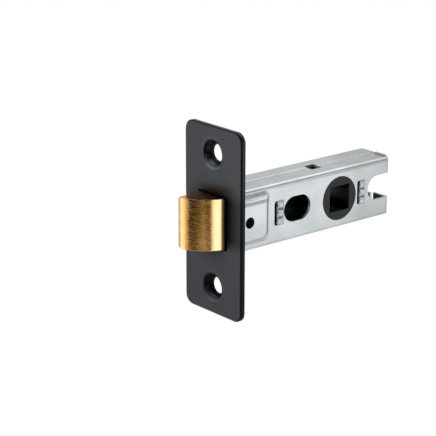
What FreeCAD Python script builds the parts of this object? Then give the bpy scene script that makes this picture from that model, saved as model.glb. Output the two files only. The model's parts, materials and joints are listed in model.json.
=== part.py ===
import FreeCAD, Part
import math
import os
import Sketcher

# Tubular mortice latch with bolt-through case.
# Frame: the origin is the centre of the faceplate's front face, on the bolt's axis.
# X runs from the faceplate back into the door, Y across the door's thickness with the
# bolt's bevel towards -Y, and Z up along the faceplate. Millimetres.

doc = FreeCAD.newDocument("tubular_latch")
sheet = doc.addObject("Spreadsheet::Sheet", "Sizes")
rows_used = []


class Size:
    """A number that remembers the sheet formula it comes from."""

    def __init__(self, number, formula):
        self.number = number
        self.formula = formula

    def joined(self, sign, other, number):
        return Size(number, f"({self.formula} {sign} {formula_of(other)})")

    def __add__(self, other):
        return self.joined("+", other, self.number + number_of(other))

    def __sub__(self, other):
        return self.joined("-", other, self.number - number_of(other))

    def __mul__(self, other):
        return self.joined("*", other, self.number * number_of(other))

    def __rmul__(self, other):
        return self * other

    def __truediv__(self, other):
        return self.joined("/", other, self.number / number_of(other))

    def __neg__(self):
        return Size(-self.number, f"(0 - {self.formula})")


def number_of(value):
    return value.number if isinstance(value, Size) else float(value)


def formula_of(value):
    return value.formula if isinstance(value, Size) else f"({value})"


def size(alias, number):
    """Put one driving dimension in the sheet and hand back a formula that reads it."""
    rows_used.append(alias)
    row = len(rows_used)
    sheet.set(f"A{row}", alias)
    sheet.set(f"B{row}", str(number))
    sheet.setAlias(f"B{row}", alias)
    return Size(float(number), f"Sizes.{alias}")


def root_of(value):
    return Size(math.sqrt(number_of(value)), f"sqrt({formula_of(value)})")


def sine(degrees):
    return Size(math.sin(math.radians(number_of(degrees))), f"sin({formula_of(degrees)} * 1 deg)")


def cosine(degrees):
    return Size(math.cos(math.radians(number_of(degrees))), f"cos({formula_of(degrees)} * 1 deg)")


# Faceplate
plate_width = size("plate_width", 25.4)
plate_height = size("plate_height", 57.0)
plate_thickness = size("plate_thickness", 1.6)
plate_corner = size("plate_corner", 3.0)
plate_edge = size("plate_edge", 0.35)
screw_spacing = size("screw_spacing", 40.6)
screw_radius = size("screw_radius", 2.5)
dish_mouth = size("dish_mouth", 4.75)
lip_radius = size("lip_radius", 3.98)
lip_depth = size("lip_depth", 0.22)
cone_radius = size("cone_radius", 3.6)
cone_start = size("cone_start", 0.9)
cone_end = size("cone_end", 2.0)
screw_land = size("screw_land", 0.7)
dish_wall = size("dish_wall", 1.0)

# Case, two pressed half shells
case_width = size("case_width", 13.4)
case_height = size("case_height", 18.6)
case_length = size("case_length", 65.7)
sheet_thickness = size("sheet_thickness", 0.9)
bend_radius = size("bend_radius", 1.2)
seam_place = size("seam_place", 0.7)
seam_gap = size("seam_gap", 0.1)
seam_step = size("seam_step", 0.15)
near_rear_radius = size("near_rear_radius", 1.3)
far_rear_radius = size("far_rear_radius", 2.0)
near_flange_end = size("near_flange_end", -0.75)
far_flange_end = size("far_flange_end", 0.75)
lip_rise = size("lip_rise", 0.4)
lip_inset = size("lip_inset", 0.3)
foot_reach = size("foot_reach", 9.8)
foot_height = size("foot_height", 9.0)

# Pressed swage that widens the case for the bolt's head
swage_depth = size("swage_depth", 0.8)
swage_end = size("swage_end", 15.4)
swage_corner = size("swage_corner", 2.0)
swage_slope = size("swage_slope", 0.6)
near_swage_top = size("near_swage_top", 6.05)
near_swage_slope = size("near_swage_slope", 2.0)
near_swage_bottom = size("near_swage_bottom", 6.55)
near_swage_root = size("near_swage_root", 0.1)
far_swage_top = size("far_swage_top", 7.95)
far_swage_bottom = size("far_swage_bottom", 7.35)
far_swage_root = size("far_swage_root", 0.7)
inner_swage_root = size("inner_swage_root", 0.1)

# Openings of the case's side walls
backset = size("backset", 44.45)
running_gap = size("running_gap", 0.08)
small_hole_place = size("small_hole_place", 7.95)
small_hole_drop = size("small_hole_drop", 0.35)
small_hole_radius = size("small_hole_radius", 1.7)
front_slot_place = size("front_slot_place", 19.85)
front_slot_width = size("front_slot_width", 3.4)
rear_slot_place = size("rear_slot_place", 53.45)
rear_slot_width = size("rear_slot_width", 3.0)
slot_height = size("slot_height", 7.5)
slot_rise = size("slot_rise", 0.2)
slot_corner = size("slot_corner", 0.7)
through_place = size("through_place", 27.15)
through_length = size("through_length", 10.6)
through_height = size("through_height", 7.8)
through_rise = size("through_rise", 0.3)
notch_place = size("notch_place", 60.3)
notch_radius = size("notch_radius", 3.9)
near_notch_rise = size("near_notch_rise", 0.4)
far_notch_rise = size("far_notch_rise", -0.1)
top_hole_place = size("top_hole_place", 39.3)
top_hole_side = size("top_hole_side", 4.0)

# Cross plates that tie the two shells
tab_gap = size("tab_gap", 0.15)
tab_proud = size("tab_proud", 0.15)
tab_groove = size("tab_groove", 0.3)
tab_groove_place = size("tab_groove_place", 1.5)
cross_plate_half_height = size("cross_plate_half_height", 6.75)
front_plate_thickness = size("front_plate_thickness", 2.5)
rear_plate_thickness = size("rear_plate_thickness", 2.2)

# Latch bolt
bolt_projection = size("bolt_projection", 9.3)
bolt_travel = size("bolt_travel", 9.05)
bolt_height = size("bolt_height", 15.5)
bolt_rise = size("bolt_rise", 0.4)
bolt_end_gap = size("bolt_end_gap", 0.35)
bolt_near = size("bolt_near", 5.6)
bolt_near_gap = size("bolt_near_gap", 0.8)
bolt_far = size("bolt_far", 6.25)
bolt_far_gap = size("bolt_far_gap", 0.15)
bevel_start = size("bevel_start", 0.15)
bevel_radius = size("bevel_radius", 12.5)
nose_near = size("nose_near", 3.1)
nose_far = size("nose_far", 4.85)
nose_flat = size("nose_flat", 0.3)
far_taper_start = size("far_taper_start", 1.6)
head_clearance = size("head_clearance", 0.65)
far_edge_round = size("far_edge_round", 0.9)
head_rear_corner = size("head_rear_corner", 2.6)
nose_chamfer = size("nose_chamfer", 0.25)

# Springs and their guide pins
spring_offset = size("spring_offset", 3.6)
spring_radius = size("spring_radius", 2.25)
spring_wire = size("spring_wire", 0.65)
spring_turns = size("spring_turns", 8.0)
runs_per_turn = size("runs_per_turn", 12.0)
spring_floor = size("spring_floor", 3.4)
spring_seat_gap = size("spring_seat_gap", 0.1)
pocket_gap = size("pocket_gap", 0.25)
guide_gap = size("guide_gap", 0.3)
guide_floor_gap = size("guide_floor_gap", 0.7)

# Bolt tail, a folded steel stirrup
tail_thickness = size("tail_thickness", 0.9)
tail_gap = size("tail_gap", 0.2)
tail_width = size("tail_width", 8.4)
tail_bend = size("tail_bend", 1.2)
tail_rear_length = size("tail_rear_length", 1.4)
lip_gap = size("lip_gap", 0.12)
lip_width = size("lip_width", 5.0)
lip_rest_gap = size("lip_rest_gap", 0.2)
window_length = size("window_length", 4.2)
window_gap = size("window_gap", 0.3)
stop_gap = size("stop_gap", 0.1)
stop_depth = size("stop_depth", 1.0)
ear_half_width = size("ear_half_width", 5.2)
ear_half_height = size("ear_half_height", 2.4)

# Follower
boss_radius = size("boss_radius", 6.8)
shoulder_radius = size("shoulder_radius", 7.4)
shoulder_width = size("shoulder_width", 0.9)
shoulder_gap = size("shoulder_gap", 0.1)
square_side = size("square_side", 8.0)
cam_radius = size("cam_radius", 6.0)
cam_flat = size("cam_flat", 4.95)
cam_width = size("cam_width", 5.3)
lobe_radius = size("lobe_radius", 7.9)
lobe_lean = size("lobe_lean", 35.2)
lobe_width = size("lobe_width", 21.8)
lobe_root = size("lobe_root", 30.0)

# Places that follow from them
case_half = case_width / 2
case_top = case_height / 2
inner_half = case_half - sheet_thickness
inner_top = case_top - sheet_thickness
head_top = bolt_rise + bolt_height / 2
head_bottom = bolt_rise - bolt_height / 2
tail_top = inner_top - tail_gap
tail_under = tail_top - tail_thickness
front_plate_rear = front_slot_place + front_slot_width / 2 - tab_gap
front_plate_front = front_plate_rear - front_plate_thickness
rear_plate_rear = rear_slot_place + rear_slot_width / 2 - tab_gap
head_rear = swage_end - head_clearance - bolt_travel
web_rear = head_rear + tail_thickness
guide_radius = spring_radius - spring_wire / 2 - guide_gap
lip_bottom = cam_radius + lip_gap
lip_front = backset - lobe_radius * sine(lobe_lean) + lip_rest_gap


def bind(thing, prop, value):
    """Give a property its number, and the sheet formula where it has one."""
    if isinstance(value, Size):
        thing.setExpression(prop, value.formula)


def new_body(name):
    body = doc.addObject("PartDesign::Body", name)
    body.Label = name
    return body


def origin_plane(body, role):
    return next(feature for feature in body.Origin.OriginFeatures if feature.Role == role)


def new_sketch(body, name, role, raised=0, right=0, up=0):
    """A sketch on an origin plane, raised along its normal and moved right and up in it."""
    sketch = body.newObject("Sketcher::SketchObject", name)
    sketch.AttachmentSupport = [(origin_plane(body, role), "")]
    sketch.MapMode = "FlatFace"
    place = FreeCAD.Vector(number_of(right), number_of(up), number_of(raised))
    sketch.AttachmentOffset = FreeCAD.Placement(place, FreeCAD.Rotation())
    for axis, value in (("x", right), ("y", up), ("z", raised)):
        bind(sketch, f"AttachmentOffset.Base.{axis}", value)
    return sketch


def tie(sketch, kind, geometry, value):
    """Add a dimension to the sketch and bind it to its formula."""
    index = sketch.addConstraint(Sketcher.Constraint(kind, *geometry, number_of(value)))
    bind(sketch, f"Constraints[{index}]", value)


def tie_point(sketch, curve, end, x, y):
    tie(sketch, "DistanceX", (-1, 1, curve, end), x)
    tie(sketch, "DistanceY", (-1, 1, curve, end), y)


def centre_between(start, end, radius, turn):
    """Centre of the arc of this radius from start to end; turn is 1 anticlockwise, -1 clockwise."""
    middle = (start + end) * 0.5
    chord = end - start
    rise = math.sqrt(max(radius * radius - chord.Length ** 2 / 4, 0.0))
    across = FreeCAD.Vector(-chord.y, chord.x, 0).normalize()
    return middle + across * rise * turn


def outline(sketch, steps):
    """Draw a closed outline. Each step goes on to a corner (x, y): (x, y) alone is a straight
    side, (x, y, radius, turn) an arc of under half a circle, and (x, y, centre_x, centre_y,
    turn) an arc about that centre."""
    corners = [FreeCAD.Vector(number_of(step[0]), number_of(step[1]), 0) for step in steps]
    ends = []
    for index, step in enumerate(steps):
        start = corners[index - 1]
        end = corners[index]
        if len(step) == 2:
            curve = sketch.addGeometry(Part.LineSegment(start, end), False)
            ends.append((curve, 1, 2))
            continue
        turn = step[-1]
        if len(step) == 4:
            centre = centre_between(start, end, number_of(step[2]), turn)
        else:
            centre = FreeCAD.Vector(number_of(step[2]), number_of(step[3]), 0)
        circle = Part.Circle(centre, FreeCAD.Vector(0, 0, 1), (start - centre).Length)
        first, last = (start, end) if turn > 0 else (end, start)
        spread = [math.atan2((p - centre).y, (p - centre).x) for p in (first, last)]
        if spread[1] < spread[0]:
            spread[1] += 2 * math.pi
        curve = sketch.addGeometry(Part.ArcOfCircle(circle, spread[0], spread[1]), False)
        ends.append((curve, 1, 2) if turn > 0 else (curve, 2, 1))
    for index, step in enumerate(steps):
        curve, begin, finish = ends[index]
        before = ends[index - 1]
        sketch.addConstraint(Sketcher.Constraint("Coincident", before[0], before[2], curve, begin))
        tie_point(sketch, curve, finish, step[0], step[1])
        if len(step) == 4:
            tie(sketch, "Radius", (curve,), step[2])
        if len(step) == 5:
            chord = corners[index] - corners[index - 1]
            if abs(chord.y) > abs(chord.x):
                tie(sketch, "DistanceX", (-1, 1, curve, 3), step[2])
            else:
                tie(sketch, "DistanceY", (-1, 1, curve, 3), step[3])


def rectangle(sketch, left, right, bottom, top, corner=None):
    """A rectangle, with its corners rounded where a corner radius is given."""
    if corner is None:
        outline(sketch, [(right, bottom), (right, top), (left, top), (left, bottom)])
        return
    outline(
        sketch,
        [
            (right - corner, bottom),
            (right, bottom + corner, right - corner, bottom + corner, 1),
            (right, top - corner),
            (right - corner, top, right - corner, top - corner, 1),
            (left + corner, top),
            (left, top - corner, left + corner, top - corner, 1),
            (left, bottom + corner),
            (left + corner, bottom, left + corner, bottom + corner, 1),
        ],
    )


def circle(sketch, x, y, radius):
    centre = FreeCAD.Vector(number_of(x), number_of(y), 0)
    shape = Part.Circle(centre, FreeCAD.Vector(0, 0, 1), number_of(radius))
    curve = sketch.addGeometry(shape, False)
    tie_point(sketch, curve, 3, x, y)
    tie(sketch, "Radius", (curve,), radius)


def pad(body, sketch, length, both_ways=False, backwards=False):
    feature = body.newObject("PartDesign::Pad", f"{sketch.Name}_pad")
    feature.Profile = sketch
    feature.Length = number_of(length)
    bind(feature, "Length", length)
    feature.SideType = "Symmetric" if both_ways else "One side"
    feature.Reversed = backwards
    return feature


def pocket(body, sketch, length=None, both_ways=False, forwards=False):
    """Cut the sketch out, through all where no length is given. A pocket runs against the
    sketch's normal, and forwards turns it round."""
    feature = body.newObject("PartDesign::Pocket", f"{sketch.Name}_pocket")
    feature.Profile = sketch
    if length is None:
        feature.Type = "ThroughAll"
    else:
        feature.Length = number_of(length)
        bind(feature, "Length", length)
    feature.SideType = "Symmetric" if both_ways else "One side"
    feature.Reversed = forwards
    return feature


def turned(body, kind, sketch):
    """Turn the sketch's profile about its own horizontal axis, to add or to cut."""
    feature = body.newObject(f"PartDesign::{kind}", f"{sketch.Name}_{kind.lower()}")
    feature.Profile = sketch
    feature.ReferenceAxis = (sketch, ["H_Axis"])
    feature.Angle = 360.0
    return feature


def edges_where(base, test):
    """Names of the base's edges whose box passes the test."""
    doc.recompute()
    edges = enumerate(base.Shape.Edges, 1)
    return [f"Edge{number}" for number, edge in edges if test(edge.BoundBox)]


def dressed(body, kind, prop, base, value, test):
    """A fillet, sized by its Radius, or a chamfer, sized by its Size, on the edges that pass."""
    feature = body.newObject(f"PartDesign::{kind}", f"{base.Name}_{kind.lower()}")
    feature.Base = (base, edges_where(base, test))
    setattr(feature, prop, number_of(value))
    bind(feature, prop, value)
    return feature


def mirrored(body, name, originals, role):
    feature = body.newObject("PartDesign::Mirrored", name)
    feature.Originals = originals
    feature.MirrorPlane = (origin_plane(body, role), [""])
    body.Tip = feature
    return feature


match = 0.01


def near_to(value, target):
    """Whether an edge's place is the one looked for."""
    return abs(value - number_of(target)) < match


# Faceplate: stamped steel plate. Each screw hole is pressed back into a dished cup that
# stands behind the plate, so that a countersunk screw ends flush.
def make_faceplate():
    body = new_body("faceplate")
    blank = new_sketch(body, "plate_outline", "YZ_Plane")
    rectangle(
        blank, -plate_width / 2, plate_width / 2, -plate_height / 2, plate_height / 2, plate_corner
    )
    plate = pad(body, blank, plate_thickness)

    aperture = new_sketch(body, "bolt_aperture", "YZ_Plane")
    rectangle(
        aperture,
        -bolt_near - bolt_near_gap,
        bolt_far + bolt_far_gap,
        head_bottom - bolt_end_gap,
        head_top + bolt_end_gap,
    )
    cut = pocket(body, aperture, plate_thickness, forwards=True)
    dressed(body, "Chamfer", "Size", cut, plate_edge, plate_front_edge)

    # the cup's outside, from within the plate to the end of its land
    cup = new_sketch(body, "cup", "XZ_Plane", up=screw_spacing / 2)
    cup_end = cone_end + screw_land
    outline(
        cup,
        [
            (plate_thickness / 2, dish_mouth + dish_wall),
            (plate_thickness / 2, 0),
            (cup_end, 0),
            (cup_end, screw_radius + dish_wall),
            (plate_thickness, dish_mouth + dish_wall),
        ],
    )
    boss = turned(body, "Revolution", cup)

    # the dish: a shallow lip, two cones and the straight land that the screw passes through
    dish = new_sketch(body, "dish", "XZ_Plane", up=screw_spacing / 2)
    outline(
        dish,
        [
            (0, 0),
            (cup_end, 0),
            (cup_end, screw_radius),
            (cone_end, screw_radius),
            (cone_start, cone_radius),
            (lip_depth, lip_radius),
            (0, dish_mouth),
        ],
    )
    bowl = turned(body, "Groove", dish)
    mirrored(body, "lower_screw_hole", [boss, bowl], "XY_Plane")
    return body


def plate_front_edge(box):
    """The front face's outer edges, which a stamped blank rolls over."""
    flat = near_to(box.XMin, 0) and near_to(box.XMax, 0)
    high = near_to(max(abs(box.ZMin), abs(box.ZMax)), plate_height / 2)
    wide = near_to(max(abs(box.YMin), abs(box.YMax)), plate_width / 2)
    return flat and (high or wide)


def swage_inset(slope):
    """How far the inside of a pressed slope lies from its outside, for an even wall."""
    run = root_of(swage_depth * swage_depth + slope * slope)
    return sheet_thickness * (run - slope) / swage_depth


def swage_outline(sketch, grow, inset_top, inset_bottom, top, bottom):
    """The swage seen from the side at one level: it grows outwards towards its foot."""
    top_slope, bottom_slope = grow
    rear = swage_end + bottom_slope - inset_bottom
    high = top + top_slope - inset_top
    low = -(bottom + bottom_slope - inset_bottom)
    corner = swage_corner
    outline(
        sketch,
        [
            (rear - corner, low),
            (rear, low + corner, rear - corner, low + corner, 1),
            (rear, high - corner),
            (rear - corner, high, rear - corner, high - corner, 1),
            (plate_thickness, high),
            (plate_thickness, low),
        ],
    )


def swage(body, name, side, raised, levels):
    """Loft between the swage's outlines at two distances from the latch's middle plane."""
    sketches = []
    for number, (distance, grow, insets, top, bottom) in enumerate(levels):
        sketch = new_sketch(body, f"{name}_{number}", "XZ_Plane", raised=distance * -side)
        swage_outline(sketch, grow, insets[0], insets[1], top, bottom)
        sketches.append(sketch)
    loft = body.newObject(f"PartDesign::{raised}", name)
    loft.Profile = sketches[0]
    loft.Sections = sketches[1:]
    return loft


# Case: two half shells pressed from zinc-plated steel sheet. Each is a channel with a side
# wall, top and bottom flanges that meet at the seam, a rear flange folded in, a swage that
# makes room for the bolt's head, and a foot that is welded to the faceplate's back.
def make_shell(name, side, rear_radius, flange_end, swage_top, top_slope, swage_bottom, root):
    body = new_body(name)
    seam = seam_place if side < 0 else seam_place + seam_gap
    top = case_top if side < 0 else case_top + seam_step
    wall = case_half * side
    inside = inner_half * side
    bend_y = (case_half - bend_radius) * side
    bend_z = case_top - bend_radius
    bend_top = top - bend_radius
    turn = -side

    section = new_sketch(body, f"{name}_section", "YZ_Plane", raised=plate_thickness)
    outline(
        section,
        [
            (bend_y, top),
            (wall, bend_top, bend_y, bend_top, turn),
            (wall, -bend_z),
            (bend_y, -case_top, bend_y, -bend_z, turn),
            (seam, -case_top),
            (seam, -inner_top),
            (bend_y, -inner_top),
            (inside, -bend_z, bend_y, -bend_z, -turn),
            (inside, bend_top),
            (bend_y, top - sheet_thickness, bend_y, bend_top, -turn),
            (seam, top - sheet_thickness),
            (seam, top),
        ],
    )
    pad(body, section, case_length - plate_thickness)

    # the rear corner, rounded in plan
    rear_x = case_length - rear_radius
    rear_y = (case_half - rear_radius) * side
    corner = new_sketch(body, f"{name}_corner", "XY_Plane")
    outline(
        corner,
        [
            (case_length, wall),
            (case_length, rear_y),
            (rear_x, wall, rear_x, rear_y, side),
        ],
    )
    pocket(body, corner, both_ways=True)

    # the rear flange, folded in from the side wall with a slit above and below it
    flange = new_sketch(body, f"{name}_rear_flange", "XY_Plane")
    inner_corner = rear_radius - sheet_thickness
    outline(
        flange,
        [
            (rear_x, wall),
            (case_length, rear_y, rear_x, rear_y, turn),
            (case_length, flange_end),
            (case_length - sheet_thickness, flange_end),
            (case_length - sheet_thickness, rear_y),
            (rear_x, rear_y + inner_corner * side, rear_x, rear_y, -turn),
        ],
    )
    pad(body, flange, bend_z * 2, both_ways=True)
    if side < 0:
        # the flange's upper edge stands a little above the top
        lip = new_sketch(body, f"{name}_lip", "XY_Plane", raised=inner_top)
        rectangle(lip, case_length - sheet_thickness, case_length, rear_y + lip_inset, flange_end)
        pad(body, lip, sheet_thickness + lip_rise)

    # the swage's slopes start a little inside the wall's face, so that they meet its bend
    insets = (swage_inset(top_slope), swage_inset(swage_slope))
    none = (0, 0)
    for kind, face, start, inset in (
        ("Additive", case_half, root, none),
        ("Subtractive", inner_half, inner_swage_root, insets),
    ):
        spread = (top_slope * (start / swage_depth + 1), swage_slope * (start / swage_depth + 1))
        levels = [
            (face - start, spread, inset, swage_top, swage_bottom),
            (face + swage_depth, none, inset, swage_top, swage_bottom),
        ]
        swage(body, f"{name}_swage_{kind.lower()}", side, f"{kind}Loft", levels)

    foot = new_sketch(body, f"{name}_foot", "YZ_Plane", raised=plate_thickness)
    outline(
        foot,
        [
            (wall, -foot_height / 2),
            (foot_reach * side, -foot_height / 2),
            (foot_reach * side, foot_height / 2),
            (wall, foot_height / 2),
        ],
    )
    pad(body, foot, sheet_thickness)
    room = new_sketch(body, f"{name}_foot_room", "YZ_Plane", raised=plate_thickness)
    outline(
        room,
        [
            (0, -foot_height / 2),
            ((inner_half + swage_depth) * side, -foot_height / 2),
            ((inner_half + swage_depth) * side, foot_height / 2),
            (0, foot_height / 2),
        ],
    )
    pocket(body, room, sheet_thickness, forwards=True)

    side_openings(body, name, side)
    return body


def side_openings(body, name, side):
    """Cut the openings that a punch makes through one side wall."""
    openings = new_sketch(body, f"{name}_openings", "XZ_Plane")
    if side < 0:
        circle(openings, small_hole_place, -small_hole_drop, small_hole_radius)
    circle(openings, backset, 0, boss_radius + running_gap)
    for place, width in ((front_slot_place, front_slot_width), (rear_slot_place, rear_slot_width)):
        rectangle(
            openings,
            place - width / 2,
            place + width / 2,
            slot_rise - slot_height / 2,
            slot_rise + slot_height / 2,
            slot_corner,
        )
    end = through_height / 2
    left = through_place - through_length / 2 + end
    right = through_place + through_length / 2 - end
    low = through_rise - end
    high = through_rise + end
    outline(
        openings,
        [
            (right, low),
            (right, high, right, through_rise, 1),
            (left, high),
            (left, low, left, through_rise, 1),
        ],
    )
    notch_rise = near_notch_rise if side < 0 else far_notch_rise
    notch_top = notch_rise + notch_radius
    notch_bottom = notch_rise - notch_radius
    outline(
        openings,
        [
            (case_length, notch_bottom),
            (case_length, notch_top),
            (notch_place, notch_top),
            (notch_place, notch_bottom, notch_place, notch_rise, 1),
        ],
    )
    pocket(body, openings, forwards=side < 0)

    top_hole = new_sketch(body, f"{name}_top_hole", "XY_Plane")
    rectangle(
        top_hole,
        top_hole_place - top_hole_side / 2,
        top_hole_place + top_hole_side / 2,
        -top_hole_side / 2,
        top_hole_side / 2,
    )
    pocket(body, top_hole, forwards=True)


# Cross plates: thick steel pieces between the shells. A tab at each end passes through the
# rear of a slot in the side wall and is staked over in three lumps.
def make_cross_plate(name, rear, thickness, pin_radius=None):
    body = new_body(name)
    front = rear - thickness
    web = new_sketch(body, f"{name}_web", "YZ_Plane", raised=front)
    half = cross_plate_half_height
    rectangle(web, -inner_half, inner_half, -half, half)
    pad(body, web, thickness)

    tab_half = slot_height / 2 - tab_gap
    tab_end = case_half + tab_proud
    tabs = new_sketch(body, f"{name}_tabs", "XZ_Plane")
    rectangle(tabs, front, rear, slot_rise - tab_half, slot_rise + tab_half, slot_corner - tab_gap)
    pad(body, tabs, tab_end * 2, both_ways=True)
    grooves = new_sketch(body, f"{name}_grooves", "YZ_Plane")
    for side in (-1, 1):
        for place_z in (slot_rise + tab_groove_place, slot_rise - tab_groove_place):
            tip = [
                (tab_end * side, place_z - tab_groove),
                ((tab_end + tab_groove) * side, place_z),
                (tab_end * side, place_z + tab_groove),
                ((tab_end - tab_groove) * side, place_z),
            ]
            outline(grooves, tip if side > 0 else tip[::-1])
    pocket(body, grooves, forwards=True)

    if pin_radius is not None:
        holes = new_sketch(body, f"{name}_pin_holes", "YZ_Plane")
        for side in (-1, 1):
            circle(holes, 0, spring_offset * side, pin_radius)
        pocket(body, holes, forwards=True)
    return body


# Latch bolt: machined brass head with a curved bevel towards -Y and a flat locking side
# towards +Y. Its rear stays within the case's swage, and two bores there take the springs.
def make_latch_bolt():
    body = new_body("latch_bolt")
    plan = new_sketch(body, "head_plan", "XY_Plane", raised=bolt_rise)
    tip = -bolt_projection
    outline(
        plan,
        [
            (tip, nose_near, bevel_radius, -1),
            (tip + nose_flat, nose_far),
            (-far_taper_start, bolt_far),
            (head_rear, bolt_far),
            (head_rear, -bolt_near),
            (-bevel_start, -bolt_near),
        ],
    )
    head = pad(body, plan, bolt_height, both_ways=True)
    eased = dressed(body, "Fillet", "Radius", head, far_edge_round, far_long_edge)
    dressed(body, "Chamfer", "Size", eased, nose_chamfer, nose_edge)

    # rear corners, rounded in side view to follow those of the swage
    corners = new_sketch(body, "head_rear_corners", "XZ_Plane")
    round_x = head_rear - head_rear_corner
    for end, side in ((head_top, 1), (head_bottom, -1)):
        round_z = end - head_rear_corner * side
        outline(
            corners,
            [
                (round_x, end),
                (head_rear, round_z, round_x, round_z, -side),
                (head_rear, end),
            ],
        )
    pocket(body, corners, both_ways=True)

    bores = new_sketch(body, "spring_bores", "YZ_Plane", raised=head_rear)
    for side in (-1, 1):
        circle(bores, 0, spring_offset * side, spring_radius + spring_wire / 2 + pocket_gap)
    pocket(body, bores, head_rear + spring_floor)
    return body


def far_long_edge(box):
    """The locking side's top and bottom edges, from the nose to the rear."""
    level = near_to(box.ZMin, head_top) or near_to(box.ZMax, head_bottom)
    flat = near_to(box.ZMin, box.ZMax)
    return level and flat and box.YMax > nose_far.number + match and box.XMin < head_rear.number - match


def nose_edge(box):
    """The two upright edges at the nose's tip."""
    upright = box.ZMax - box.ZMin > bolt_height.number / 2
    return upright and box.XMax < nose_flat.number - bolt_projection.number + match


# Bolt tail: steel strip folded into a stirrup. Its web is fixed to the head's rear, and
# its arms run above and below the bolt-through holes. Each arm has a lip that a lug of the
# follower pushes back, a window in which the lug swings, and a stop that meets the cross
# plate when the bolt is out.
def make_bolt_tail():
    body = new_body("bolt_tail")
    bend_x = head_rear + tail_bend
    bend_z = tail_top - tail_bend
    end = lip_front + tail_thickness + tail_rear_length
    side_view = new_sketch(body, "stirrup", "XZ_Plane")
    outline(
        side_view,
        [
            (bend_x, tail_top),
            (head_rear, bend_z, bend_x, bend_z, 1),
            (head_rear, -bend_z),
            (bend_x, -tail_top, bend_x, -bend_z, 1),
            (end, -tail_top),
            (end, -tail_under),
            (bend_x, -tail_under),
            (web_rear, -bend_z, bend_x, -bend_z, -1),
            (web_rear, bend_z),
            (bend_x, tail_under, bend_x, bend_z, -1),
            (end, tail_under),
            (end, tail_top),
        ],
    )
    pad(body, side_view, tail_width, both_ways=True)
    ears = new_sketch(body, "rivet_ears", "YZ_Plane", raised=head_rear)
    rectangle(ears, -ear_half_width, ear_half_width, -ear_half_height, ear_half_height)
    pad(body, ears, tail_thickness)

    # lips and stops are tongues pressed down from the arms
    tongue_top = tail_under + tail_thickness / 2
    stop_front = front_plate_rear + stop_gap
    tongues = new_sketch(body, "tongues", "XZ_Plane")
    for side in (-1, 1):
        for front, foot in ((lip_front, lip_bottom), (stop_front, tail_under - stop_depth)):
            rear = front + tail_thickness
            low, high = (foot, tongue_top) if side > 0 else (-tongue_top, -foot)
            rectangle(tongues, front, rear, low, high)
    pad(body, tongues, lip_width, both_ways=True)

    windows = new_sketch(body, "windows", "XY_Plane")
    half = lip_width / 2 + window_gap
    rectangle(windows, lip_front - window_length, lip_front, -half, half)
    pocket(body, windows, both_ways=True)

    holes = new_sketch(body, "web_holes", "YZ_Plane", raised=web_rear)
    for side in (-1, 1):
        circle(holes, 0, spring_offset * side, spring_radius + spring_wire / 2 + pocket_gap)
    pocket(body, holes, tail_thickness)
    return body


# Spring guides: pins riveted in the front cross plate that keep the springs straight.
def make_spring_guide(name, side):
    body = new_body(name)
    tip = bolt_travel + guide_floor_gap - spring_floor
    end = new_sketch(body, f"{name}_end", "YZ_Plane", raised=tip)
    circle(end, 0, spring_offset * side, guide_radius)
    pad(body, end, front_plate_rear - tip)
    return body


class Coil:
    """A square wire wound about a line along X, in short straight runs. Its sections stand in
    planes through that line."""

    def __init__(self, thing):
        for name in ("Start", "Length", "Offset", "Radius", "Wire", "Turns", "Runs"):
            thing.addProperty("App::PropertyFloat", name)
        thing.Proxy = self

    def execute(self, thing):
        half = thing.Wire / 2
        count = round(thing.Turns * thing.Runs)
        sections = []
        for step in range(count + 1):
            along = thing.Start + thing.Length * step / count
            angle = 2 * math.pi * step / thing.Runs
            corners = [
                FreeCAD.Vector(
                    along + half * right,
                    (thing.Radius + half * out) * math.cos(angle),
                    (thing.Radius + half * out) * math.sin(angle) + thing.Offset,
                )
                for right, out in ((-1, -1), (1, -1), (1, 1), (-1, 1))
            ]
            sections.append(Part.makePolygon(corners + corners[:1]))
        thing.Shape = Part.makeLoft(sections, True, True)


# Bolt springs: steel wire wound in an open coil, one above the other. The square section
# has the wire's width across its sides.
def make_spring(name, side):
    half = spring_wire / 2
    start = spring_seat_gap + half - spring_floor
    spring = doc.addObject("Part::FeaturePython", name)
    Coil(spring)
    bind(spring, "Start", start)
    bind(spring, "Length", front_plate_front - spring_seat_gap - half - start)
    bind(spring, "Offset", spring_offset * side)
    bind(spring, "Radius", spring_radius)
    bind(spring, "Wire", spring_wire)
    bind(spring, "Turns", spring_turns)
    bind(spring, "Runs", runs_per_turn)
    return spring


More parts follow.
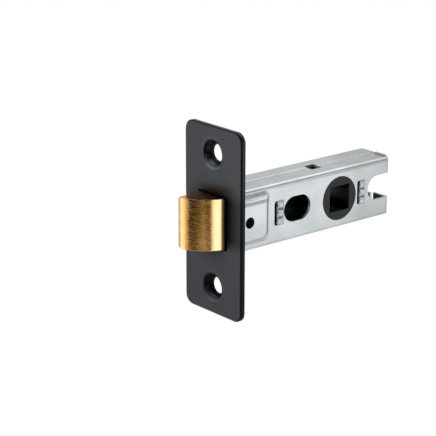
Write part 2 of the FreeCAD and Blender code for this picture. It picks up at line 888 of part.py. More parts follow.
# Follower: black sintered hub with a square hole for the handle's spindle. Two bosses run
# in the side walls, shoulders inside them keep it in place, and two lugs between the tail's
# arms lean forwards to reach the lips.
def make_follower():
    body = new_body("follower")
    cam = new_sketch(body, "cam", "XZ_Plane", right=backset)
    flat_end = root_of(cam_radius * cam_radius - cam_flat * cam_flat)
    trail = lobe_lean + lobe_width
    tip_x = -lobe_radius * sine(lobe_lean)
    tip_z = lobe_radius * cosine(lobe_lean)
    trail_x = -lobe_radius * sine(trail)
    trail_z = lobe_radius * cosine(trail)
    root_x = -cam_radius * cosine(lobe_root)
    root_z = cam_radius * sine(lobe_root)
    outline(
        cam,
        [
            (flat_end, cam_flat, 0, 0, 1),
            (tip_x, cam_flat),
            (tip_x, tip_z),
            (trail_x, trail_z, 0, 0, 1),
            (root_x, root_z),
            (root_x, -root_z, 0, 0, 1),
            (trail_x, -trail_z),
            (tip_x, -tip_z, 0, 0, 1),
            (tip_x, -cam_flat),
            (flat_end, -cam_flat),
        ],
    )
    pad(body, cam, cam_width, both_ways=True)

    sides = []
    shoulder_outer = inner_half - shoulder_gap
    for name, radius, start, finish in (
        ("boss", boss_radius, cam_width / 2, case_half),
        ("shoulder", shoulder_radius, shoulder_outer - shoulder_width, shoulder_outer),
    ):
        disc = new_sketch(body, name, "XZ_Plane", raised=start, right=backset)
        circle(disc, 0, 0, radius)
        sides.append(pad(body, disc, finish - start))
    mirrored(body, "far_side", sides, "XZ_Plane")

    square = new_sketch(body, "spindle_square", "XZ_Plane", right=backset)
    half = square_side / 2
    rectangle(square, -half, half, -half, half)
    pocket(body, square, both_ways=True)
    return body


pieces = [
    make_faceplate(),
    make_shell(
        "case_near_shell", -1, near_rear_radius, near_flange_end,
        near_swage_top, near_swage_slope, near_swage_bottom, near_swage_root,
    ),
    make_shell(
        "case_far_shell", 1, far_rear_radius, far_flange_end,
        far_swage_top, swage_slope, far_swage_bottom, far_swage_root,
    ),
    make_cross_plate("front_cross_plate", front_plate_rear, front_plate_thickness, guide_radius),
    make_cross_plate("rear_cross_plate", rear_plate_rear, rear_plate_thickness),
    make_latch_bolt(),
    make_bolt_tail(),
    make_spring_guide("spring_guide_upper", 1),
    make_spring_guide("spring_guide_lower", -1),
    make_spring("bolt_spring_upper", 1),
    make_spring("bolt_spring_lower", -1),
    make_follower(),
]
doc.recompute()

for thing in doc.Objects:
    if "Invalid" in thing.State or "Error" in thing.State:
        raise RuntimeError(f"{thing.Name} failed: {thing.State}")
for piece in pieces:
    shape = piece.Shape
    if shape.isNull() or not shape.isValid() or len(shape.Solids) != 1:
        raise RuntimeError(f"{piece.Label} is not one valid solid")

os.makedirs("parts", exist_ok=True)
for piece in pieces:
    piece.Shape.exportStep(f"parts/{piece.Label}.step")
    print(piece.Label, round(piece.Shape.Volume, 1), piece.Shape.BoundBox)
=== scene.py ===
import json
import math

import bmesh
import bpy
import numpy as np
from mathutils import Matrix, Vector


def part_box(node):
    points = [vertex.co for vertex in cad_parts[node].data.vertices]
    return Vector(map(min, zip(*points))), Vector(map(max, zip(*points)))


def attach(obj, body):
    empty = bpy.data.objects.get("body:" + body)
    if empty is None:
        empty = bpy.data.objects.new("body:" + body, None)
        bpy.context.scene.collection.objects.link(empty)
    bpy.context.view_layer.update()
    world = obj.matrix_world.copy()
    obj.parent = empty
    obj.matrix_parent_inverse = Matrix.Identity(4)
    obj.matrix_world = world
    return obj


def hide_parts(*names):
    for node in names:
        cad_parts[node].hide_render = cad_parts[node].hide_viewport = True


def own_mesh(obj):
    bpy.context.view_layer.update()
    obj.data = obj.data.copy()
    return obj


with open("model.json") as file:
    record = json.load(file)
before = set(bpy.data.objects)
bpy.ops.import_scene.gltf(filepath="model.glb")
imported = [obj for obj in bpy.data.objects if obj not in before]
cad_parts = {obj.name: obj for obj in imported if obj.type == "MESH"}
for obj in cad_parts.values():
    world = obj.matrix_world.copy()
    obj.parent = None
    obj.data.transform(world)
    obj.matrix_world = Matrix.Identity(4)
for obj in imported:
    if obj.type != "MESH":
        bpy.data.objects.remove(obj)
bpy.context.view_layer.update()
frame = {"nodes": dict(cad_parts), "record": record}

# Case shells: two channels pressed from 0.9 mm steel strip, barrel plated with bright zinc
# and passivated, so the faces are satin, faintly mottled and cool in colour. Their feet are
# resistance welded to the faceplate's back.


def metal(name, color, roughness, metallic=1.0):
    """A finish whose plain values sit on the shader's own sockets."""
    finish = bpy.data.materials.new(name)
    finish.use_nodes = True
    shader = finish.node_tree.nodes["Principled BSDF"]
    shader.inputs["Base Color"].default_value = (*color, 1)
    shader.inputs["Roughness"].default_value = roughness
    shader.inputs["Metallic"].default_value = metallic
    return finish


def feed(finish, socket, pattern):
    """Let a pattern or a colour drive one socket of the finish's shader."""
    shader = finish.node_tree.nodes["Principled BSDF"]
    finish.node_tree.links.new(pattern, shader.inputs[socket])


def grain(finish, size, run=(1, 1, 1), detail=2.0, rough=0.5):
    """Noise whose grains are about size metres, drawn out along X, Y and Z by run."""
    tree = finish.node_tree
    place = tree.nodes.new("ShaderNodeTexCoord")
    stretch = tree.nodes.new("ShaderNodeMapping")
    stretch.inputs["Scale"].default_value = [1 / (size * share) for share in run]
    noise = tree.nodes.new("ShaderNodeTexNoise")
    noise.inputs["Scale"].default_value = 1.0
    noise.inputs["Detail"].default_value = detail
    noise.inputs["Roughness"].default_value = rough
    tree.links.new(place.outputs["Object"], stretch.inputs["Vector"])
    tree.links.new(stretch.outputs["Vector"], noise.inputs["Vector"])
    return noise.outputs["Fac"]


def spread(finish, pattern, low, high, start=0.3, end=0.7, curve="LINEAR"):
    """Map a pattern's values between start and end to values between low and high."""
    tree = finish.node_tree
    ramp = tree.nodes.new("ShaderNodeMapRange")
    ramp.interpolation_type = curve
    for socket, value in zip(("From Min", "From Max", "To Min", "To Max"), (start, end, low, high)):
        ramp.inputs[socket].default_value = value
    tree.links.new(pattern, ramp.inputs["Value"])
    return ramp.outputs["Result"]


def blended(finish, share, first, second, mode="MIX"):
    """Blend a colour with a second one by a share. Each is a plain value or a pattern."""
    tree = finish.node_tree
    mix = tree.nodes.new("ShaderNodeMix")
    mix.data_type = "RGBA"
    mix.blend_type = mode
    for socket, value in (("Factor", share), ("A", first), ("B", second)):
        if isinstance(value, bpy.types.NodeSocket):
            tree.links.new(value, mix.inputs[socket])
        elif isinstance(value, tuple):
            mix.inputs[socket].default_value = (*value, 1)
        else:
            mix.inputs[socket].default_value = value
    return mix.outputs["Result"]


def shaded(finish, pattern, low, high, start=0.3, end=0.7):
    """Map a pattern's values between start and end to colours between low and high."""
    return blended(finish, spread(finish, pattern, 0.0, 1.0, start, end), low, high)


def tinted(finish, color, pattern, dark, start=0.3, end=0.7):
    """Darken a colour to the share dark where the pattern is low."""
    shade = shaded(finish, pattern, (dark, dark, dark), (1.0, 1.0, 1.0), start, end)
    return blended(finish, 1.0, color, shade, mode="MULTIPLY")


def ramp_along(finish, axis, start, end, low=0.0, high=1.0, source="Object"):
    """Rise smoothly from low to high between two places along an axis in metres, or between two
    tilts of the face's own direction."""
    tree = finish.node_tree
    place = tree.nodes.new("ShaderNodeTexCoord")
    split = tree.nodes.new("ShaderNodeSeparateXYZ")
    tree.links.new(place.outputs[source], split.inputs["Vector"])
    return spread(finish, split.outputs[axis], low, high, start, end, curve="SMOOTHSTEP")


def combined(finish, operation, *patterns):
    """Join patterns one after another by a maths operation."""
    tree = finish.node_tree
    result = patterns[0]
    for pattern in patterns[1:]:
        step = tree.nodes.new("ShaderNodeMath")
        step.operation = operation
        tree.links.new(result, step.inputs[0])
        tree.links.new(pattern, step.inputs[1])
        result = step.outputs["Value"]
    return result


def product(finish, *patterns):
    """Multiply patterns together."""
    return combined(finish, "MULTIPLY", *patterns)


def band_along(finish, axis, start, full, fading, end):
    """Rise smoothly to 1 between start and full, and fall back to 0 between fading and end."""
    rise = ramp_along(finish, axis, start, full)
    return product(finish, rise, ramp_along(finish, axis, end, fading))


def place_through(finish, *steps):
    """Take the place on the piece through vector steps, each an operation and its value."""
    tree = finish.node_tree
    result = tree.nodes.new("ShaderNodeTexCoord").outputs["Object"]
    for operation, value in steps:
        step = tree.nodes.new("ShaderNodeVectorMath")
        step.operation = operation
        if value is not None:
            step.inputs[1].default_value = value
        tree.links.new(result, step.inputs[0])
        result = step.outputs["Value" if operation in ("LENGTH", "DISTANCE") else "Vector"]
    return result


def box_distance(finish, middle, half, corner=0.0, keep=(1, 1, 1)):
    """Distance from a box eased by a corner radius r. With p the place from the middle, each axis
    scaled by keep, and h half the size, it is |max(|p| - h + r, 0)|, which is r on the outline.
    An axis that keep sets to 0 doesn't count."""
    reach = [max(value - corner, 0) for value in half]
    return place_through(
        finish,
        ("SUBTRACT", middle),
        ("MULTIPLY", keep),
        ("ABSOLUTE", None),
        ("SUBTRACT", reach),
        ("MAXIMUM", (0, 0, 0)),
        ("LENGTH", None),
    )


def outline_band(finish, middle, half, corner, width):
    """A soft line round a rounded rectangle in the XZ plane, fading over width on both sides."""
    distance = box_distance(finish, middle, half, corner, keep=(1, 0, 1))
    inside = spread(finish, distance, 0.0, 1.0, corner - width, corner)
    outside = spread(finish, distance, 1.0, 0.0, corner, corner + width)
    return product(finish, inside, outside)


def openness(finish, distance):
    """How far a place is open within the distance, 1 on a bare face and 0 in a closed corner."""
    share = finish.node_tree.nodes.new("ShaderNodeAmbientOcclusion")
    share.samples = 8
    share.inputs["Distance"].default_value = distance
    return share.outputs["AO"]


def relief(finish, layers, edge=0.00012):
    """Bump layers (pattern, height in metres) over edges eased by a small radius, which may
    itself be a pattern."""
    tree = finish.node_tree
    eased = tree.nodes.new("ShaderNodeBevel")
    eased.samples = 6
    if isinstance(edge, float):
        eased.inputs["Radius"].default_value = edge
    else:
        tree.links.new(edge, eased.inputs["Radius"])
    normal = eased.outputs["Normal"]
    for pattern, height in layers:
        bump = tree.nodes.new("ShaderNodeBump")
        bump.inputs["Strength"].default_value = 1.0
        bump.inputs["Distance"].default_value = height
        tree.links.new(pattern, bump.inputs["Height"])
        tree.links.new(normal, bump.inputs["Normal"])
        normal = bump.outputs["Normal"]
    feed(finish, "Normal", normal)


def dressed(finish, *names):
    """Give these CAD nodes one finish."""
    for name in names:
        mesh = frame["nodes"][name].data
        mesh.materials.clear()
        mesh.materials.append(finish)


plated = (0.62, 0.66, 0.67)
zinc = metal("zinc_plate", plated, roughness=0.34)
clouds = grain(zinc, size=0.006, run=(1.6, 1, 1), detail=3.0)
spangle = grain(zinc, size=0.0007, detail=4.0, rough=0.6)
rolled = grain(zinc, size=0.00012, run=(60, 1, 1), detail=1.0)
openness_for_painted_shade = openness(zinc, distance=0.0007)
painted_shade_up_the_wall = ramp_along(zinc, "Z", start=-0.008, end=0.002)
painted_shade_from_the_rear = ramp_along(zinc, "X", start=0.066, end=0.036)
zinc_color = shaded(zinc, clouds, (0.55, 0.585, 0.59), (0.655, 0.695, 0.705))
zinc_color = tinted(zinc, zinc_color, spangle, dark=0.93)
# painted shade: the plating darkens in corners and creases, where the openness is low
zinc_color = tinted(zinc, zinc_color, openness_for_painted_shade, dark=0.78, start=0.45, end=0.95)
# painted shade: the plating darkens towards the bottom of the case and towards its rear end
zinc_color = tinted(zinc, zinc_color, painted_shade_up_the_wall, dark=0.87, start=0.0, end=1.0)
zinc_color = tinted(zinc, zinc_color, painted_shade_from_the_rear, dark=0.8, start=0.0, end=1.0)

# Painted light on the near shell's outside: a dark line round the swage, painted shade in its concave
# corner; bands along its top slope, painted shade with a painted highlight above it, for the shading of a
# shallow step; mottled painted shade at the foot of the top bend; and a painted shade under the top bend

outside_near = ramp_along(zinc, "Y", start=-0.0060, end=-0.0064)
foot_mottle = grain(zinc, size=0.0007, run=(3, 1, 1))
line_front = -0.02
line_rear = 0.0147
line_foot = -0.0061
line_top = 0.0085
line_corner = 0.0022
line_width = 0.0006


def slope_band(heights, rear_end, rear_full, front_share=1.0):
    """A band along the top slope of the swage between heights, as band_along takes them. It ends
    between rear_full and rear_end, and falls to front_share towards the faceplate."""
    return product(
        zinc,
        ramp_along(zinc, "X", rear_end, rear_full),
        ramp_along(zinc, "X", start=0.006, end=0.012, low=front_share),
        band_along(zinc, "Z", *heights),
        outside_near,
    )


step_shade_heights = (0.0045, 0.0049, 0.0058, 0.0063)
slope_highlight_heights = (0.0057, 0.0061, 0.0066, 0.0071)
bend_foot_shade_heights = (0.0067, 0.0072, 0.0078, 0.0083)
# painted shade and, above it, a painted highlight along the swage's top slope, for the shading of a
# shallow step
step_painted_shade = slope_band(step_shade_heights, rear_end=0.0155, rear_full=0.0135)
slope_painted_highlight = slope_band(slope_highlight_heights, rear_end=0.0150, rear_full=0.0140, front_share=0.6)
# painted shade at the foot of the top bend, mottled
bend_foot_painted_shade = product(
    zinc,
    slope_band(bend_foot_shade_heights, rear_end=0.0152, rear_full=0.0142, front_share=0.4),
    spread(zinc, foot_mottle, low=0.2, high=1.0, start=0.4, end=0.58),
)
# painted shade: a dark line in the swage's concave corner, all round it
swage_outline_painted_shade = product(
    zinc,
    outline_band(
        zinc,
        middle=((line_rear + line_front) / 2, 0, (line_top + line_foot) / 2),
        half=((line_rear - line_front) / 2, 0, (line_top - line_foot) / 2),
        corner=line_corner,
        width=line_width,
    ),
    ramp_along(zinc, "Z", start=0.0066, end=0.0052),
    ramp_along(zinc, "Z", start=-0.0060, end=-0.0045, low=0.65, high=1.0),
    outside_near,
    spread(zinc, clouds, low=0.7, high=1.0),
)
# painted shade: a thin dark band under the top bend
under_bend = product(
    zinc,
    ramp_along(zinc, "X", start=0.016, end=0.05, low=0.3, high=0.9),
    band_along(zinc, "Z", start=0.0077, full=0.0080, fading=0.0081, end=0.0084),
    outside_near,
)
painted_light_bands = [
    (step_painted_shade, (0.30, 0.33, 0.34)),
    (bend_foot_painted_shade, (0.36, 0.39, 0.40)),
    (slope_painted_highlight, (0.96, 0.98, 0.98)),
    (swage_outline_painted_shade, (0.08, 0.10, 0.11)),
    (under_bend, (0.33, 0.37, 0.38)),
]
for share, painted_color in painted_light_bands:
    zinc_color = blended(zinc, share, zinc_color, painted_color)
feed(zinc, "Base Color", zinc_color)
feed(zinc, "Roughness", spread(zinc, spangle, low=0.30, high=0.38))
relief(zinc, [(spangle, 0.000003), (rolled, 0.000002)])
dressed(zinc, "case_near_shell", "case_far_shell")

# Cross plates: sheared steel blanks, zinc plated with the case. Their tabs stand in slots of
# the side walls and are hit over with a three-toothed staking tool.

blank_half_width = 0.0052
tab_blend = 0.0006
tab_zinc = metal("staked_zinc", plated, roughness=0.3)
hammered = grain(tab_zinc, size=0.0008)
past_blank = box_distance(tab_zinc, (0, 0, 0), (0, blank_half_width, 0), keep=(0, 1, 0))
smooth_share = spread(tab_zinc, past_blank, low=0.85, high=0.0, start=0.0, end=tab_blend)
struck_share = spread(tab_zinc, past_blank, low=0.1, high=1.0, start=0.0, end=tab_blend)
openness_for_painted_shade = openness(tab_zinc, distance=0.0006)
hollow_color = (0.28, 0.305, 0.31)
crest_color = (0.54, 0.58, 0.59)
blank_color = (0.46, 0.495, 0.50)
tab_color = shaded(tab_zinc, hammered, hollow_color, crest_color, start=0.35, end=0.62)
tab_color = blended(tab_zinc, smooth_share, tab_color, blank_color)
# painted shade: the colour darkens in the slots' corners, where the openness is low
tab_color = tinted(tab_zinc, tab_color, openness_for_painted_shade, dark=0.35, start=0.5, end=0.98)
feed(tab_zinc, "Base Color", tab_color)
feed(tab_zinc, "Roughness", spread(tab_zinc, hammered, low=0.22, high=0.4))
relief(tab_zinc, [(product(tab_zinc, hammered, struck_share), 0.00002)], edge=0.0002)
dressed(tab_zinc, "front_cross_plate", "rear_cross_plate")

stake_middle = 0.0002
stake_pitch = 0.0026
stake_half_height = 0.0013
stake_rise = 0.0004
stake_depth = 0.0006
stake_columns = 19
stake_rows = 85
rim_sink = 0.0003
below_tab_end = 0.00003
slot_gap = 0.00015
merge_distance = 1e-7
crease_angle = math.radians(35)


def add_piece(name, mesh, finish):
    """Put a mesh into the scene as a piece of its own, with its place in the mesh."""
    mesh.materials.append(finish)
    piece = bpy.data.objects.new(name, mesh)
    bpy.context.scene.collection.objects.link(piece)
    return piece


def solid_grid(name, grids, finish):
    """One closed mesh from parametric grids of points, each of rows by columns, joined by quads.
    Points that meet along rims, seams and poles are merged and the faces turned outwards."""
    points = []
    faces = []
    for grid in grids:
        rows, columns = grid.shape[:2]
        first = len(points) + (np.arange(rows - 1)[:, None] * columns + np.arange(columns - 1)).ravel()
        faces += np.stack([first, first + 1, first + columns + 1, first + columns], 1).tolist()
        points += grid.reshape(-1, 3).tolist()
    mesh = bpy.data.meshes.new(name)
    mesh.from_pydata(points, [], faces)
    shape = bmesh.new()
    shape.from_mesh(mesh)
    bmesh.ops.remove_doubles(shape, verts=shape.verts, dist=merge_distance)
    bmesh.ops.recalc_face_normals(shape, faces=shape.faces)
    shape.to_mesh(mesh)
    shape.free()
    mesh.shade_smooth()
    mesh.set_sharp_from_angle(angle=crease_angle)
    return add_piece(name, mesh, finish)


def stakes(name, cross_plate, side):
    """The tab's end as the staking leaves it. Over u from front to rear and v from bottom to
    top, -1 to 1, three lumps stand rise * (1 - u^6) * (1 - w^4) proud, where w is the distance
    from the nearest lump's middle over its half height. The metal has spread over the slot's
    rear, top and bottom edges. It sinks by sink * max(|u|, |v|)^24 at its rim, and from there
    straight in to a flat back below the wall."""
    low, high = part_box(cross_plate)
    face = (high[1] - below_tab_end) * side
    back = face - stake_depth * side
    columns = np.linspace(-1, 1, stake_columns)
    u, v = np.meshgrid(columns, np.linspace(-1, 1, stake_rows), indexing="ij")
    x = (low[0] + high[0]) / 2 + slot_gap + u * ((high[0] - low[0]) / 2 + slot_gap)
    z = stake_middle + v * (stake_pitch + stake_half_height)
    lump_middles = stake_middle + stake_pitch * np.array([-1, 0, 1])
    w = np.abs(z[..., None] - lump_middles).min(axis=-1) / stake_half_height
    lump = (1 - np.abs(u) ** 6) * (1 - np.minimum(w, 1) ** 4)
    rim = np.maximum(np.abs(u), np.abs(v)) ** 24
    y = face + side * (stake_rise * lump - rim_sink * rim)
    x = np.pad(x, 1, mode="edge")
    y = np.pad(y, 1, constant_values=back)
    z = np.pad(z, 1, mode="edge")
    front = np.stack([x, y, z], -1)
    rear = np.stack([x, np.full_like(x, back), z], -1)
    piece = solid_grid(name, [front, rear], tab_zinc)
    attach(piece, "case")


for place in ("front", "rear"):
    stakes(f"{place}_stakes_near", f"{place}_cross_plate", -1)
    stakes(f"{place}_stakes_far", f"{place}_cross_plate", 1)

# Case seam: the shells meet along the top, the far edge a little above the near one. A film of
# plating and burr rounds the step off, in front of the square tool hole and behind it.

hole_front = 0.0373
hole_rear = 0.0413
seam_rear = 0.0645
seam_step = 0.00015
seam_overlap = 0.00005
seam_root = 0.000102
film_rise = 0.000002
far_low, far_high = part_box("case_far_shell")
seam_front = far_low[0]
seam_line = far_low[1] + seam_overlap
seam_high = far_high[2] + film_rise
seam_low = seam_high - seam_step
seam_foot = seam_low - seam_root
for place, start, end, reach in (
    ("front", seam_front, hole_front, 0.0003),
    ("rear", hole_rear, seam_rear, 0.0008),
):
    # a triangle across Y and Z, carried along X and capped at both ends
    triangle = [(seam_line - reach, seam_low), (seam_line, seam_high), (seam_line, seam_foot)]
    sides = np.empty((2, 4, 3))
    sides[..., 0] = [[start], [end]]
    sides[..., 1:] = [*triangle, triangle[0]]
    caps = sides[:, [0, 1, 2, 2]].reshape(2, 2, 2, 3)
    smear = solid_grid(f"seam_bridge_{place}", [sides, *caps], zinc)
    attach(smear, "case")

# Faceplate: stamped 1.6 mm steel with two dished screw holes, powder coated satin black.
# The coat is thick enough to soften the edges and has a very fine orange peel.

screws = next(mount for mount in frame["record"]["mounts"] if mount["name"] == "forend_screws")
screw_height = screws["dims"]["spacing_y_mm"] / 2 / 1000
dish_middle = (0.001, 0, screw_height)
coat_dark = (0.006, 0.0065, 0.009)
coat_light = (0.009, 0.0098, 0.013)
cool_gloss = (0.82, 0.89, 1.0, 1)
black = metal("black_powder_coat", coat_dark, roughness=0.26, metallic=0.0)
black_shader = black.node_tree.nodes["Principled BSDF"]
black_shader.inputs["Specular Tint"].default_value = cool_gloss
peel = grain(black, size=0.00025, detail=3.0)
haze = grain(black, size=0.012)
openness_for_painted_shade = openness(black, distance=0.007)
black_color = shaded(black, haze, coat_dark, coat_light)
# painted shade: the coat darkens in corners and near raised parts, where the openness is low
black_color = tinted(black, black_color, openness_for_painted_shade, dark=0.1, start=0.55, end=0.98)
feed(black, "Base Color", black_color)
feed(black, "Roughness", spread(black, haze, low=0.24, high=0.3))

# Gloss of the coat: on the front face, on the plate's edge and, as a painted highlight, where the dishes
# face up; almost none just behind the front face, a painted dark line over the chamfer; less low down, in
# corners and beside the bolt, all painted shade

from_dish = place_through(black, ("ABSOLUTE", None), ("DISTANCE", dish_middle))
# painted shade: the gloss falls almost to nothing just behind the front face, a dark line over the
# chamfer
front_gloss_and_dark_edge = ramp_along(black, "X", start=0.00003, end=0.0002, low=0.54, high=0.05)
rim_gloss = product(
    black,
    ramp_along(black, "X", start=0.0004, end=0.0008, low=0.0, high=0.26),
    ramp_along(black, "Z", start=-0.02, end=0.012, low=0.4, high=1.0),
)
# painted highlight: strong gloss where the dishes face up
dish_painted_highlight = product(
    black,
    spread(black, from_dish, low=1.0, high=0.0, start=0.0054, end=0.0062),
    ramp_along(black, "X", start=0.0016, end=0.0013),
    ramp_along(black, "Z", start=0.05, end=0.35, low=0.0, high=1.5, source="Normal"),
)
# painted shade beside the bolt: the gloss drops near a box at its near side
bolt_shade_middle = (0, -0.0036, 0.0018)
bolt_shade_half = (0.01, 0.0014, 0.0105)
bolt_shade_distance = box_distance(black, bolt_shade_middle, bolt_shade_half, keep=(1, 0.7, 2))
gloss_with_painted_shade = product(
    black,
    combined(black, "MAXIMUM", front_gloss_and_dark_edge, rim_gloss, dish_painted_highlight),
    # painted shade: less gloss lower down
    ramp_along(black, "Z", start=-0.025, end=0.02, low=0.68, high=1.18),
    spread(black, openness_for_painted_shade, low=0.1, high=1.0, start=0.45, end=0.97),
    spread(black, bolt_shade_distance, low=0.03, high=1.0, start=0.0008, end=0.0095),
)
feed(black, "Specular IOR Level", gloss_with_painted_shade)
dish_edge = spread(black, from_dish, low=0.0022, high=0.0003, start=0.0056, end=0.0070)
relief(black, [(peel, 0.000003)], edge=dish_edge)
dressed(black, "faceplate")

# Latch bolt: cut from extruded brass, its curved bevel and flanks brushed on a belt, which
# leaves short scratches that run round the curve. The top and bottom are sawn and duller.

brass = metal("brushed_brass", (0.72, 0.47, 0.19), roughness=0.28)
scratches = grain(brass, size=0.00014, run=(9, 9, 1))
stains = grain(brass, size=0.0022, run=(1.5, 1.5, 1), detail=3.0)
# painted shade: a dark band across the middle of the bevel, broken up by stains
dark_band_painted_shade = product(
    brass,
    ramp_along(brass, "Y", start=0.0024, end=0.0012),
    ramp_along(brass, "Y", start=-0.0050, end=-0.0038),
    spread(brass, stains, low=0.55, high=0.95),
)
# painted shade: the upward faces take a darker, redder colour
top_face_painted_shade = ramp_along(brass, "Z", start=0.6, end=0.9, low=0.0, high=0.8, source="Normal")
# deeper painted shade along the scratches inside the dark band
scratches_in_painted_band = product(brass, dark_band_painted_shade, spread(brass, scratches, low=0.7, high=0.0, start=0.4, end=0.58))
# painted highlight: a paler band on the bevel's near side
painted_highlight_band = ramp_along(brass, "Y", start=-0.0036, end=-0.0048, low=0.0, high=0.35)
# painted shade where the bevel's near side meets the faceplate
foot_shade = product(
    brass,
    ramp_along(brass, "X", start=-0.0014, end=-0.0007, low=0.0, high=0.92),
    ramp_along(brass, "Y", start=-0.002, end=-0.004),
)
painted_light_and_scratches = [
    (dark_band_painted_shade, (0.64, 0.31, 0.06)),
    (top_face_painted_shade, (0.72, 0.36, 0.15)),
    (scratches_in_painted_band, (0.25, 0.12, 0.03)),
    (painted_highlight_band, (0.98, 0.78, 0.56)),
    (foot_shade, (0.06, 0.035, 0.015)),
]
brass_color = shaded(brass, stains, (0.80, 0.52, 0.20), (0.93, 0.67, 0.30))
for share, brass_band_color in painted_light_and_scratches:
    brass_color = blended(brass, share, brass_color, brass_band_color)
feed(brass, "Base Color", brass_color)
feed(brass, "Roughness", spread(brass, scratches, low=0.15, high=0.27, start=0.35, end=0.7))
relief(brass, [(scratches, 0.000004)], edge=0.0003)
dressed(brass, "latch_bolt")

# Bolt tail and its rivets: a stirrup folded from plated strip, riveted to the head. The
# spring guides are bright drawn pins riveted in the front cross plate.

dressed(zinc, "bolt_tail")
bright = metal("bright_steel", (0.56, 0.56, 0.55), roughness=0.25)
drawn = grain(bright, size=0.0001, run=(40, 1, 1))
feed(bright, "Base Color", shaded(bright, drawn, (0.46, 0.46, 0.45), (0.62, 0.62, 0.61)))
relief(bright, [(drawn, 0.000003)])
dressed(bright, "spring_guide_upper", "spring_guide_lower")

web_thickness = 0.0009
rivet_offset = 0.0038
rivet_radius = 0.0013
rivet_rise = 0.0004
rivet_sink = 0.00002
rivet_columns = 25
rivet_rows = 7
rivet_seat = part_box("bolt_tail")[0][0] + web_thickness - rivet_sink
for side, place in ((-1, "near"), (1, "far")):
    # a dome: from the rim, share 1, to the top, share 0, it rises by rise * root(1 - share^2)
    turn = np.linspace(0, 2 * np.pi, rivet_columns)
    around, share = np.meshgrid(turn, np.linspace(1, 0, rivet_rows), indexing="ij")
    across = rivet_offset * side + rivet_radius * share * np.cos(around)
    up = rivet_radius * share * np.sin(around)
    dome = np.stack([rivet_seat + rivet_rise * np.sqrt(1 - share**2), across, up], -1)
    back = np.stack([np.full_like(up, rivet_seat), across, up], -1)
    rivet = solid_grid(f"tail_rivet_{place}", [dome, back], bright)
    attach(rivet, "bolt")

# Bolt springs: oiled spring wire wound in an open coil with a closed turn at each end. They
# sit in the head's bores and shorten as the bolt goes in.

spring_low, spring_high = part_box("bolt_spring_upper")
coil_front = spring_low[0]
coil_rear = spring_high[0]
coil_offset = (spring_low[2] + spring_high[2]) / 2
coil_length = coil_rear - coil_front
coil_radius = 0.00225
wire_radius = 0.00035
open_turns = 9
closed_turns = 1
points_a_turn = 40
wire_sides = 12
pitch_ease = 8


def coil(name, height, finish):
    """A round wire along a helix about X. The line is x(t), y = r cos t, z = r sin t, where x
    climbs one wire a turn over the closed turns and evenly between them; the section is a
    circle in the plane across the line's own direction."""
    turns = open_turns + 2 * closed_turns
    t = np.linspace(0, turns, turns * points_a_turn + 1)
    inner = coil_length - 2 * wire_radius
    closed = 2 * wire_radius * closed_turns
    x = np.interp(t, [0, closed_turns, turns - closed_turns, turns], [0, closed, inner - closed, inner])
    window = 2 * pitch_ease + 1
    x = np.convolve(np.pad(x, pitch_ease, mode="edge"), np.ones(window) / window, mode="valid")
    x += coil_front + wire_radius
    angle = 2 * np.pi * t
    line = np.stack([x, coil_radius * np.cos(angle), coil_radius * np.sin(angle)], 1)
    along = np.gradient(line, axis=0)
    along /= np.linalg.norm(along, axis=1)[:, None]
    out = np.stack([np.zeros_like(angle), np.cos(angle), np.sin(angle)], 1)
    side = np.cross(along, out)
    side /= np.linalg.norm(side, axis=1)[:, None]
    out = np.cross(side, along)
    turn = np.linspace(0, 2 * np.pi, wire_sides, endpoint=False)
    ring = out[:, None] * np.cos(turn)[None, :, None] + side[:, None] * np.sin(turn)[None, :, None]
    points = line[:, None] + wire_radius * ring + np.array([0, 0, height])
    last = (len(line) - 1) * wire_sides
    first = np.arange(last).reshape(-1, wire_sides)
    after = np.roll(first, -1, axis=1)
    faces = np.stack([first, after, after + wire_sides, first + wire_sides], -1).reshape(-1, 4).tolist()
    faces += [list(range(wire_sides))[::-1], list(range(last, last + wire_sides))]
    mesh = bpy.data.meshes.new(name)
    mesh.from_pydata(points.reshape(-1, 3).tolist(), [], faces)
    mesh.shade_smooth()
    return add_piece(name, mesh, finish)


oiled = metal("oiled_spring_wire", (0.30, 0.30, 0.32), roughness=0.22)
oil = grain(oiled, size=0.001, detail=3.0)
feed(oiled, "Base Color", shaded(oiled, oil, (0.22, 0.22, 0.24), (0.36, 0.35, 0.35)))
feed(oiled, "Roughness", spread(oiled, oil, low=0.18, high=0.34))
for name, height in (("upper", coil_offset), ("lower", -coil_offset)):
    spring = coil(f"coil_{name}", height, oiled)
    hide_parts(f"bolt_spring_{name}")
    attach(spring, "case")
    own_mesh(spring)

# Follower: a hub pressed and sintered from steel powder and steam blackened, so it is matt and
# finely porous. Its bosses turn in the shells' round holes, and it has a square spindle hole.

sinter = metal("blackened_sinter", (0.008, 0.008, 0.010), roughness=0.42, metallic=0.0)
pores = grain(sinter, size=0.00018, detail=3.0, rough=0.7)
blacking = grain(sinter, size=0.003, detail=3.0)
openness_for_painted_shade = openness(sinter, distance=0.004)
sinter_color = shaded(sinter, blacking, (0.006, 0.006, 0.008), (0.011, 0.011, 0.014))
# painted shade: the colour darkens in corners and recesses, where the openness is low
sinter_color = tinted(sinter, sinter_color, openness_for_painted_shade, dark=0.1, start=0.75, end=0.97)
feed(sinter, "Base Color", sinter_color)
feed(sinter, "Roughness", spread(sinter, pores, low=0.42, high=0.58))
# painted shade: the gloss drops in corners and recesses as well
feed(sinter, "Specular IOR Level", spread(sinter, openness_for_painted_shade, low=0.01, high=0.37, start=0.75, end=0.97))
relief(sinter, [(pores, 0.000012)], edge=0.00015)
dressed(sinter, "follower")

# Studio: pale floor well below the latch and white paper all round, brighter behind the latch
# than on the camera's side. The camera sees the paper and the floor as plain white.

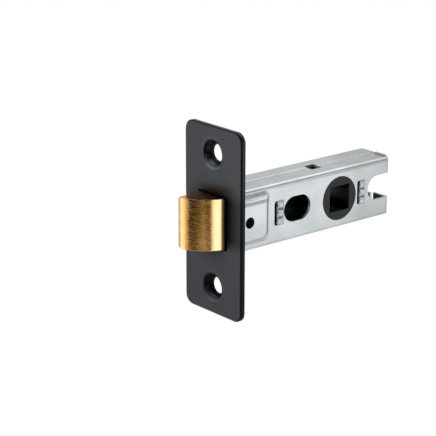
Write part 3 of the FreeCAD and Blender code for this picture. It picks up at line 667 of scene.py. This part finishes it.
bright_side = (0.62, 0.78, 0.0)
paper_dim = 0.02
paper_bright = 0.92
paper = bpy.data.worlds.new("paper_surround")
paper.use_nodes = True
bpy.context.scene.world = paper
surround = paper.node_tree
surround.nodes.clear()
seen = surround.nodes.new("ShaderNodeLightPath")
direction = surround.nodes.new("ShaderNodeTexCoord")
facing = surround.nodes.new("ShaderNodeVectorMath")
facing.operation = "DOT_PRODUCT"
facing.inputs[1].default_value = bright_side
glow = surround.nodes.new("ShaderNodeBackground")
white = surround.nodes.new("ShaderNodeBackground")
white.inputs["Color"].default_value = (1, 1, 1, 1)
chosen = surround.nodes.new("ShaderNodeMixShader")
world_out = surround.nodes.new("ShaderNodeOutputWorld")
surround.links.new(direction.outputs["Generated"], facing.inputs[0])
brightness = spread(
    paper, facing.outputs["Value"], low=paper_dim, high=paper_bright, start=-0.7, end=0.3
)
surround.links.new(brightness, glow.inputs["Strength"])
surround.links.new(seen.outputs["Is Camera Ray"], chosen.inputs["Fac"])
surround.links.new(glow.outputs["Background"], chosen.inputs[1])
surround.links.new(white.outputs["Background"], chosen.inputs[2])
surround.links.new(chosen.outputs["Shader"], world_out.inputs["Surface"])

floor_height = -0.35
floor_reach = 0.8
card = bpy.data.materials.new("white_card")
card.use_nodes = True
board = card.node_tree
board.nodes.clear()
ray = board.nodes.new("ShaderNodeLightPath")
matt = board.nodes.new("ShaderNodeBsdfDiffuse")
matt.inputs["Color"].default_value = (0.85, 0.85, 0.85, 1)
lit = board.nodes.new("ShaderNodeEmission")
blend = board.nodes.new("ShaderNodeMixShader")
card_out = board.nodes.new("ShaderNodeOutputMaterial")
seen_rays = [ray.outputs[f"Is {kind} Ray"] for kind in ("Camera", "Transmission", "Glossy")]
board.links.new(combined(card, "MAXIMUM", *seen_rays), blend.inputs["Fac"])
board.links.new(matt.outputs["BSDF"], blend.inputs[1])
board.links.new(lit.outputs["Emission"], blend.inputs[2])
board.links.new(blend.outputs["Shader"], card_out.inputs["Surface"])
corner_signs = ((-1, -1), (1, -1), (1, 1), (-1, 1))
corners = [(x * floor_reach, y * floor_reach, floor_height) for x, y in corner_signs]
floor_mesh = bpy.data.meshes.new("floor")
floor_mesh.from_pydata(corners, [], [(0, 1, 2, 3)])
floor = add_piece("floor", floor_mesh, card)


def softbox(name, heading, distance, height, width, tall, radiance):
    """A flat lamp that faces the latch from a heading in degrees, anticlockwise from +X. Its
    power is its radiance times pi times its area."""
    lamp = bpy.data.lights.new(name, "AREA")
    lamp.shape = "RECTANGLE"
    lamp.size = width
    lamp.size_y = tall
    lamp.energy = radiance * math.pi * width * tall
    box = bpy.data.objects.new(name, lamp)
    turn = math.radians(heading)
    place = Vector((distance * math.cos(turn), distance * math.sin(turn), height))
    box.location = place
    box.rotation_euler = (-place).to_track_quat("-Z", "Y").to_euler()
    box.visible_camera = False
    bpy.context.scene.collection.objects.link(box)


softbox("left_softbox", heading=158, distance=0.75, height=0.0, width=0.68, tall=0.9, radiance=1.12)
softbox("front_strip", heading=261, distance=0.75, height=0.0, width=0.37, tall=0.9, radiance=1.6)
softbox("right_softbox", heading=304, distance=0.8, height=-0.16, width=0.66, tall=0.75, radiance=0.8)
softbox("top_softbox", heading=210, distance=0.1, height=0.8, width=0.9, tall=0.8, radiance=0.8)
softbox("bend_strip", heading=8, distance=0.5, height=0.6, width=0.6, tall=0.45, radiance=0.9)

# Camera: a long lens where the photograph was taken from, found from the edges of the
# faceplate and the case. It is rolled by a tenth of a degree.

camera_place = Vector((-0.3003, -0.3642, 0.1509))
camera_aim = Vector((0.00205, 0.0, 0.00056))
camera_roll = math.radians(0.09)
focal_length = 140.6
lens = bpy.data.cameras.new("camera")
lens.lens = focal_length
lens.sensor_width = 36.0
camera = bpy.data.objects.new("camera", lens)
bpy.context.scene.collection.objects.link(camera)
turn_to = (camera_aim - camera_place).to_track_quat("-Z", "Y").to_matrix()
roll = Matrix.Rotation(camera_roll, 3, "Z")
camera.matrix_world = Matrix.Translation(camera_place) @ (turn_to @ roll).to_4x4()
bpy.context.scene.camera = camera
bpy.context.scene.view_settings.view_transform = "Standard"
